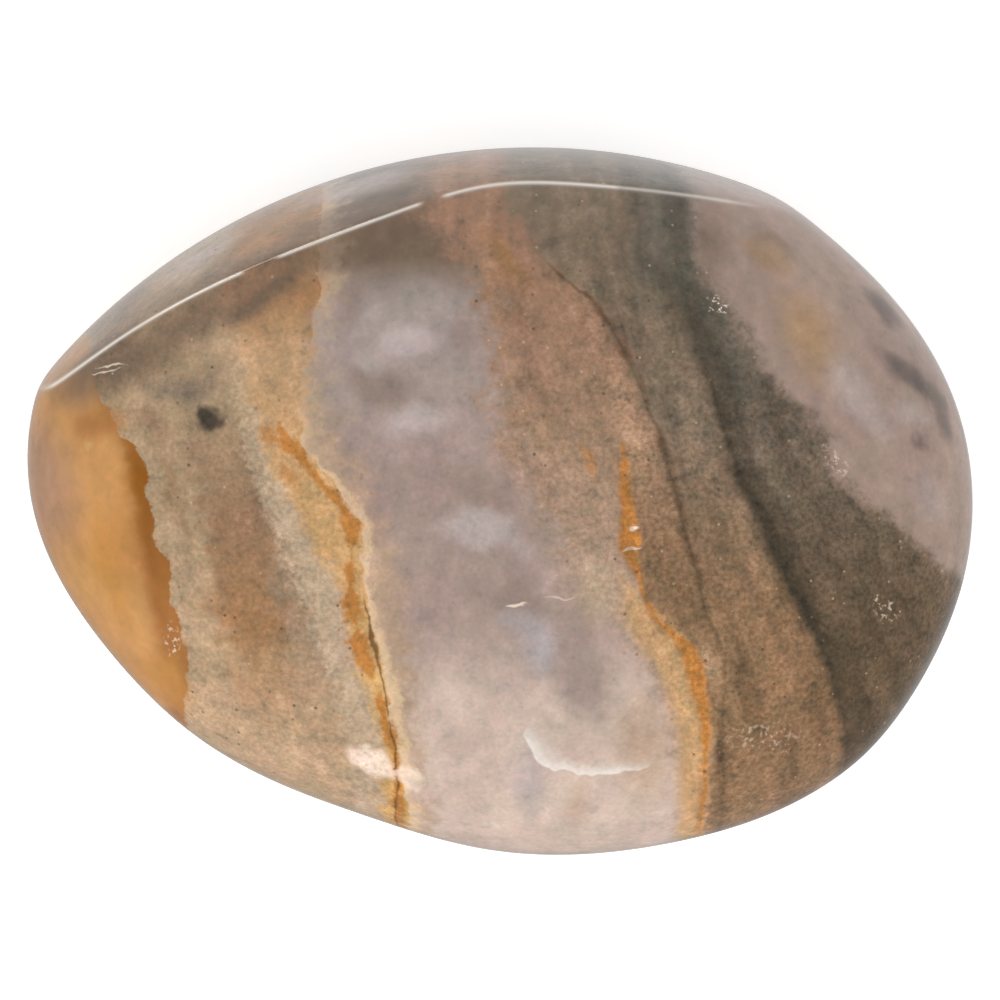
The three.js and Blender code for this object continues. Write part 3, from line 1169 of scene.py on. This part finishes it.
        self.wander = {
            edge: self.node(
                "MapRange",
                {0: self._speckle(edge.value, detail), 3: -2.0, 4: 2.0},
                clamp=False,
            )
            for edge, detail in ((Edge.RAGGED, 4.0), (Edge.FRAYED, 2.0))
        }
        links = {0: self.wander[Edge.FRAYED], 1: self.FRAY / self.REACH_ACROSS, 2: self.across}
        self.frayed = self.node("Math", links, operation="MULTIPLY_ADD")

    def _speckle(self, size: float, detail: float) -> NodeSocket:
        """Scatters noise over the stone.

        Args:
            size: How large its patches are.
            detail: How many finer sizes it has.

        Returns:
            Noise about a half.
        """
        links = {"Vector": self.place, "Scale": 1 / size, "Detail": detail, "Roughness": 0.6}
        return self.node("TexNoise", links)

    def _line(self, points: tuple[Point, ...], span: Point, jagged: bool = False) -> NodeSocket:
        """Draws a line over Y.

        Args:
            points: The line's points, in Y and then the value.
            span: The lowest and highest value it can have.
            jagged: Whether it is a broken line, and not a smooth curve.

        Returns:
            The line's value at each Y, as a share of the span.
        """
        value = self.node("FloatCurve", {1: self.along})
        mapping = value.node.mapping
        low, high = span
        places = sorted((y / self.REACH_ALONG + 0.5, (v - low) / (high - low)) for y, v in points)
        line = mapping.curves[0]
        while len(line.points) < len(places):
            line.points.new(0.5, 0.5)
        for point, place in zip(line.points, places):
            point.location = place
            point.handle_type = "VECTOR" if jagged else "AUTO_CLAMPED"
        mapping.use_clip = False
        mapping.extend = "HORIZONTAL"
        mapping.update()
        return value

    def _cover(self, share: Socket, colour: Socket, blend: str = "MIX") -> None:
        """Covers what is there with a colour.

        Args:
            share: How much of it shows, from 0 to 1.
            colour: The colour.
            blend: How the two are blended.
        """
        links = {0: share, 6: self.colour, 7: colour}
        self.colour = self.node("Mix", links, 2, data_type="RGBA", blend_type=blend)

    def _vary(self, share: Socket, by: Socket, gains: tuple[tuple[float, Place], ...]) -> None:
        """Brightens and darkens what is there.

        Args:
            share: How strongly, from 0 to 1.
            by: The noise that it goes by.
            gains: How much red, green and blue are multiplied at each value of the noise.
        """
        ramp = self.node("ValToRGB", {0: by})
        set_ramp(ramp.node, [(value, (*gain, 1.0)) for value, gain in gains])
        self._cover(share, ramp, "MULTIPLY")

    def _lay_band(self, band: Band) -> None:
        """Lays a layer over everything beyond its seam.

        Args:
            band: The layer.
        """
        side = self.REACH_ACROSS / 2
        seam = self._line(band.seam, (-side, side), band.jagged)
        wander = self.wander[Edge.RAGGED]
        here = self.node(
            "Math",
            {
                0: wander,
                1: band.ragged / self.REACH_ACROSS,
                2: self.frayed if band.frayed else self.across,
            },
            operation="MULTIPLY_ADD",
        )
        beyond = self.node("Math", {0: here, 1: seam}, operation="SUBTRACT")
        edge = band.blend / 2 / self.REACH_ACROSS
        share = self.node(
            "MapRange", {0: beyond, 1: -edge, 2: edge}, interpolation_type="SMOOTHSTEP"
        )
        shades = self.node("ValToRGB", {0: self.along})
        set_ramp(
            shades.node,
            [(y / self.REACH_ALONG + 0.5, linear(mineral.value)) for y, mineral in band.shades],
        )
        self._cover(share, shades)
        if band.sand != self.laid:
            self.sand = self.node("Mix", {0: share, 2: self.sand, 3: band.sand})
            self.laid = band.sand

    def _lay_vein(self, vein: Vein) -> None:
        """Lays a vein over the layers.

        Args:
            vein: The vein.
        """
        side = self.REACH_ACROSS / 2
        middle = self._line(vein.line, (-side, side))
        (top, upper), (foot, lower) = vein.widths[0], vein.widths[-1]
        widths = ((top + 1.0, upper), *vein.widths, (foot - 1.0, lower))
        width = self._line(widths, (0.0, self.REACH_WIDTH))
        away = self.node("Math", {0: self.across, 1: middle}, operation="SUBTRACT")
        away = self.node("Math", {0: away}, operation="ABSOLUTE")
        outside = self.node(
            "Math",
            {0: width, 1: -self.REACH_WIDTH / self.REACH_ACROSS, 2: away},
            operation="MULTIPLY_ADD",
        )
        outside = self.node(
            "Math",
            {0: self.wander[Edge.RAGGED], 1: vein.ragged / 2 / self.REACH_ACROSS, 2: outside},
            operation="MULTIPLY_ADD",
        )
        edge = vein.blend / 2 / self.REACH_ACROSS
        share = self.node(
            "MapRange",
            {0: outside, 1: edge, 2: -edge, 4: vein.strength},
            interpolation_type="SMOOTHSTEP",
        )
        present = self.node("MapRange", {0: width, 2: self.PRESENT / self.REACH_WIDTH})
        share = self.node("Math", {0: share, 1: present}, operation="MULTIPLY")
        self._cover(share, linear(vein.mineral.value))

    def _reach(self, centre: Place, half: Place, turn: float) -> NodeSocket:
        """Measures how far out in an ellipsoid each place is: 0 at its middle, 1 on its skin.

        Args:
            centre: Its middle.
            half: Its half sizes along its own axes.
            turn: How far it is turned anticlockwise about Z, in degrees.

        Returns:
            The reach.
        """
        if turn not in self.turned:
            links = {0: self.flow, 3: -math.radians(turn)}
            self.turned[turn] = self.node("VectorRotate", links, rotation_type="Z_AXIS")
        middle = Matrix.Rotation(-math.radians(turn), 3, "Z") @ Vector(centre)
        scale = Vector(1 / size for size in half)
        links = {0: self.turned[turn], 1: scale, 2: -middle * scale}
        own = self.node("VectorMath", links, operation="MULTIPLY_ADD")
        return self.node("VectorMath", {0: own}, "Value", operation="LENGTH")

    def _lay_stain(self, stain: Stain) -> None:
        """Lays a stain over what is there.

        Args:
            stain: The stain.
        """
        reach = self._reach(stain.centre, stain.half, stain.turn)
        if stain.ragged:
            links = {0: self.wander[stain.edge], 1: stain.ragged / 2, 2: reach}
            reach = self.node("Math", links, operation="MULTIPLY_ADD")
        share = self.node(
            "MapRange",
            {0: reach, 1: 1.0, 2: 1.0 - stain.soft, 4: stain.strength},
            interpolation_type="SMOOTHSTEP",
        )
        self._cover(share, linear(stain.mineral.value))

    def _lay_film(self) -> None:
        """Lays the film of broad stains over what is there."""
        film = self.node("Attribute", {}, "Color", attribute_name="stain_film")
        through = film.node.outputs["Alpha"]
        links = {0: self.colour, 1: through, 2: film}
        self.colour = self.node("VectorMath", links, operation="MULTIPLY_ADD")

    def _mottle(self) -> None:
        """Varies the colour: clouds and tints in each layer, rusty and mossy patches in sand."""
        drawn_out = self.node(
            "VectorMath", {0: self.flow, 1: self.CLOUD_SCALE}, operation="MULTIPLY"
        )
        clouds = self.node("TexNoise", {"Vector": drawn_out, "Scale": 1.0, "Detail": 3.0})
        thin, thick, dark, light = self.CLOUDY
        clouds = self.node("MapRange", {0: clouds, 1: thin, 2: thick, 3: dark, 4: light})
        self._cover(1.0, clouds, "MULTIPLY")
        self._vary(1.0, self.tint, self.TINTS)
        full, least = self.PATCHY
        share = self.node("MapRange", {0: self.sand, 2: full, 3: least})
        self._vary(share, self._speckle(self.PATCH_SIZE, 3.0), self.PATCHES)

    def _rings(self) -> None:
        """Streaks the wood with its old growth rings, which run beside the moss line."""
        side = self.REACH_ACROSS / 2
        line = self._line(MOSS_LINE, (-side, side))
        away = self.node("Math", {0: self.across, 1: line}, operation="SUBTRACT")
        unrolled = self.node("CombineXYZ", {0: away, 1: self.along})
        links = {0: unrolled, 1: (self.REACH_ACROSS, self.REACH_ALONG / self.RING_STRETCH, 1)}
        unrolled = self.node("VectorMath", links, operation="MULTIPLY")
        links = {"Vector": unrolled, "Scale": 1 / self.RING_SIZE, "Detail": 2.0}
        start, full = self.STREAKY
        share = self.node("MapRange", {0: self.sand, 1: start, 2: full})
        self._vary(share, self.node("TexNoise", links), self.STREAKS)

    def _grain(self) -> None:
        """Speckles the sandy layers with dark brown and cream grains, flecks and crystals."""
        self.grain = self._speckle(self.GRAIN_SIZE, 2.0)
        clear, full = (y / self.REACH_ALONG + 0.5 for y in self.COARSENING)
        coarse = self.node("MapRange", {0: self.along, 1: clear, 2: full, 3: self.FINE})
        coarse = self.node("Math", {0: coarse, 1: self.sand}, operation="MULTIPLY")
        self._vary(coarse, self.grain, self.GRAINS)
        cells = self.node(
            "TexVoronoi", {"Vector": self.place, "Scale": 1 / self.FLECK_SIZE}, "Distance"
        )
        chance = self.node("SeparateColor", {0: cells.node.outputs["Color"]})
        start, full = self.FLECKED
        sandy = self.node("MapRange", {0: self.sand, 1: start, 2: full})
        for mineral, size, never, always, strength in self.FLECKS:
            core = size * self.FLECK_CORE
            spot = self.node("MapRange", {0: cells, 1: size, 2: core, 4: strength})
            chosen = self.node("MapRange", {0: chance, 1: never, 2: always})
            share = self.node("Math", {0: spot, 1: chosen}, operation="MULTIPLY")
            share = self.node("Math", {0: share, 1: sandy}, operation="MULTIPLY")
            self._cover(share, linear(mineral.value))

    def _lay_glints(self) -> None:
        """Paints glints: clusters of white specks, a painted highlight where tiny crystal faces
        catch the light.
        """
        cluster: Socket = 0.0
        start, full = self.GLINT_CLUSTER
        for glint in GLINTS:
            reach = self._reach(glint.centre, glint.half, glint.turn)
            inside = self.node("MapRange", {0: reach, 1: start, 2: full, 4: glint.strength})
            cluster = self.node("Math", {0: cluster, 1: inside}, operation="MAXIMUM")
        dull, bright = self.GLINT_SPECK
        # face is the painted glint speck in each grain.
        face = self.node("MapRange", {0: self.grain, 1: dull, 2: bright})
        share = self.node("Math", {0: face, 1: cluster}, operation="MULTIPLY")
        self._cover(share, linear(Mineral.MILK.value))

    def _paint_crescent_highlight(self) -> None:
        """Paints the crescent highlight: pale at its sharp lower edge, and faded above."""
        reach = self._reach(PAINTED_CRESCENT.centre, PAINTED_CRESCENT.half, PAINTED_CRESCENT.turn)
        edge, outside = self.CRESCENT_RIM
        inner = self.node("MapRange", {0: reach, 1: 1.0 - PAINTED_CRESCENT.soft, 2: edge})
        outer = self.node("MapRange", {0: reach, 1: outside, 2: edge})
        links = {0: self.place, 1: self.CRESCENT_OPENS}
        towards = self.node("VectorMath", links, "Value", operation="DOT_PRODUCT")
        middle = Vector(PAINTED_CRESCENT.centre).dot(self.CRESCENT_OPENS)
        start, full = self.CRESCENT_FADES
        links = {0: towards, 1: middle - start, 2: middle - PAINTED_CRESCENT.half[1] * full}
        low = self.node("MapRange", links)
        share: Socket = PAINTED_CRESCENT.strength
        for factor in (inner, outer, low):
            share = self.node("Math", {0: share, 1: factor}, operation="MULTIPLY")
        self._cover(share, linear(PAINTED_CRESCENT.mineral.value))

    def _paint_ridge_highlight(self) -> None:
        """Paints a highlight on the crown ridge: a pale thread that stands in for the strip light's
        reflection.
        """
        # worn is the share of the painted ridge highlight.
        worn = self.node("Attribute", {}, "Fac", attribute_name="painted_ridge_highlight")
        self._cover(worn, linear(Mineral.PEARL.value))

    def _finish(self) -> None:
        """Adds the gloss and the tiny relief of the sandy layers."""
        relief = self.RELIEF * METRES
        bump = self.node("Bump", {"Strength": self.sand, "Distance": relief, "Height": self.grain})
        links = {0: self.sand, 1: self.SANDY_GLOSS, 2: self.GLOSS}
        rough = self.node("Math", links, operation="MULTIPLY_ADD")
        shader = self.node(
            "BsdfPrincipled",
            {
                "Base Color": self.colour,
                "Roughness": rough,
                "Metallic": 0.0,
                "IOR": self.IOR,
                "Normal": bump,
            },
        )
        self.node("OutputMaterial", {0: shader})


@dataclass(frozen=True)
class Pebble:
    """The whole object: one polished stone.

    Attributes:
        node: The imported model's node that the stone stands for.
        slot: The record's material slot.
        mesh: How its mesh is made.
    """

    node: str = "stone"
    slot: str = "polished_petrified_wood"
    mesh: StoneMesh = StoneMesh()

    def build(self) -> Object:
        """Builds and dresses the stone.

        Returns:
            The stone's object.
        """
        low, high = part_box(self.node)
        stone = self.mesh.build("tumbled_stone", (low + high) / 2)
        wood = PetrifiedWood(self.slot)
        wood.stain(stone.data)
        stone.data.materials.append(wood.build())
        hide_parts("stone")
        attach(stone, "root")
        log.info("%s: %d faces", stone.name, len(stone.data.polygons))
        return stone


# ---- The studio ----


@dataclass(frozen=True)
class Panel:
    """A light panel that faces the stone.

    Attributes:
        name: What it is.
        azimuth: Its compass angle, in degrees anticlockwise from +X.
        elevation: Its angle above the table.
        distance: How far it stands from the stone.
        wide: Its width, in degrees as seen from the stone.
        tall: Its height, in degrees.
        radiance: How bright it looks.
        colour: Its colour.
        shines: Whether it shows in reflections.
        lights: Whether it lights matt surfaces.
    """

    name: str
    azimuth: float
    elevation: float
    wide: float
    tall: float
    radiance: float
    colour: str = "ffffff"
    shines: bool = True
    lights: bool = True
    distance: float = 600.0

    def build(self) -> Object:
        """Makes the panel's light.

        Returns:
            The light's object.
        """
        data = bpy.data.lights.new(self.name, "AREA")
        data.shape = "RECTANGLE"
        data.size = 2 * self.distance * METRES * math.tan(math.radians(self.wide / 2))
        data.size_y = 2 * self.distance * METRES * math.tan(math.radians(self.tall / 2))
        data.energy = self.radiance * math.pi * data.size * data.size_y
        data.color = linear(self.colour)[:3]
        lamp = bpy.data.objects.new(self.name, data)
        around, above = math.radians(self.azimuth), math.radians(self.elevation)
        out = Vector(
            (
                math.cos(around) * math.cos(above),
                math.sin(around) * math.cos(above),
                math.sin(above),
            )
        )
        lamp.location = out * self.distance * METRES
        lamp.rotation_euler = out.to_track_quat("Z", "Y").to_euler()
        lamp.visible_camera = False
        lamp.visible_glossy = self.shines
        lamp.visible_diffuse = self.lights
        bpy.context.scene.collection.objects.link(lamp)
        return lamp


@dataclass(frozen=True)
class Studio:
    """A pale table under soft light, and the camera straight above the stone.

    Attributes:
        table_size: The table's side.
        table_colour: The table's colour.
        table_glow: How much light comes up through the table.
        bright_side: The direction from which the room is brightest.
        sky: The room's brightness, each with how nearly a direction is the bright side's.
        camera_height: The camera's height above the table.
        lens: The camera's focal length, on its sensor.
        sensor: The sensor's width.
        panels: The light panels.
    """

    table_size: float = 4000.0
    table_colour: str = "efefef"
    table_glow: float = 0.5
    bright_side: Place = (0.2, 0.88, -0.44)
    sky: tuple[Point, ...] = ((0.0, 0.26), (0.35, 0.4), (0.8, 0.8), (1.0, 0.8))
    camera_height: float = 287.2
    lens: float = 250.0
    sensor: float = 36.0
    panels: tuple[Panel, ...] = (
        Panel("key", -90, 74, 60, 60, 1.8, shines=False),
        Panel("fill front", -90, 20, 100, 36, 0.5, shines=False),
        Panel("fill left", 180, 20, 80, 36, 0.65, shines=False),
        Panel("fill right", 0, 20, 80, 36, 0.5, shines=False),
        Panel("strip", 122, 6, 40, 8, 7, "fff1e2", lights=False),
    )

    def build(self) -> None:
        """Makes the table, the room's light, the panels and the camera."""
        self._table()
        self._room()
        for panel in self.panels:
            panel.build()
        self._camera()
        bpy.context.scene.view_settings.view_transform = "Standard"

    def _table(self) -> None:
        """Makes the pale table top."""
        top = bmesh.new()
        bmesh.ops.create_grid(top, x_segments=1, y_segments=1, size=self.table_size * METRES / 2)
        mesh = bpy.data.meshes.new("table")
        top.to_mesh(mesh)
        top.free()
        table = bpy.data.objects.new("table", mesh)
        bpy.context.scene.collection.objects.link(table)
        material = bpy.data.materials.new("matt_white_acrylic")
        material.use_nodes = True
        tree = material.node_tree
        tree.nodes.clear()
        shader = add_node(
            tree,
            "BsdfPrincipled",
            {
                "Base Color": linear(self.table_colour),
                "Roughness": 0.6,
                "Emission Color": linear("ffffff"),
                "Emission Strength": self.table_glow,
            },
        )
        add_node(tree, "OutputMaterial", {0: shader})
        table.visible_glossy = False
        mesh.materials.append(material)

    def _room(self) -> None:
        """Lights the room from all round, and most from behind the crown wall."""
        world = bpy.data.worlds.new("room")
        bpy.context.scene.world = world
        world.use_nodes = True
        tree = world.node_tree
        tree.nodes.clear()
        direction = add_node(tree, "TexCoord", {}, "Generated")
        links = {0: direction, 1: self.bright_side}
        near = add_node(tree, "VectorMath", links, "Value", operation="DOT_PRODUCT")
        ramp = add_node(tree, "ValToRGB", {0: near})
        set_ramp(ramp.node, [(place, (value, value, value, 1.0)) for place, value in self.sky])
        seen = add_node(tree, "LightPath", {}, "Is Camera Ray")
        links = {0: seen, 6: ramp, 7: linear(self.table_colour)}
        room = add_node(tree, "Mix", links, 2, data_type="RGBA")
        light = add_node(tree, "Background", {0: room, 1: 1.0})
        add_node(tree, "OutputWorld", {0: light})

    def _camera(self) -> None:
        """Makes the camera that looks straight down on the stone."""
        data = bpy.data.cameras.new("camera")
        data.lens, data.sensor_width = self.lens, self.sensor
        data.clip_start, data.clip_end = 0.01, 20.0
        camera = bpy.data.objects.new("camera", data)
        camera.location = (0, 0, self.camera_height * METRES)
        bpy.context.scene.collection.objects.link(camera)
        bpy.context.scene.camera = camera


def main() -> None:
    """Builds the pebble and the studio."""
    logging.basicConfig(level=logging.INFO)
    Pebble().build()
    Studio().build()
    log.info("sizes written")


if __name__ == "__main__":
    main()
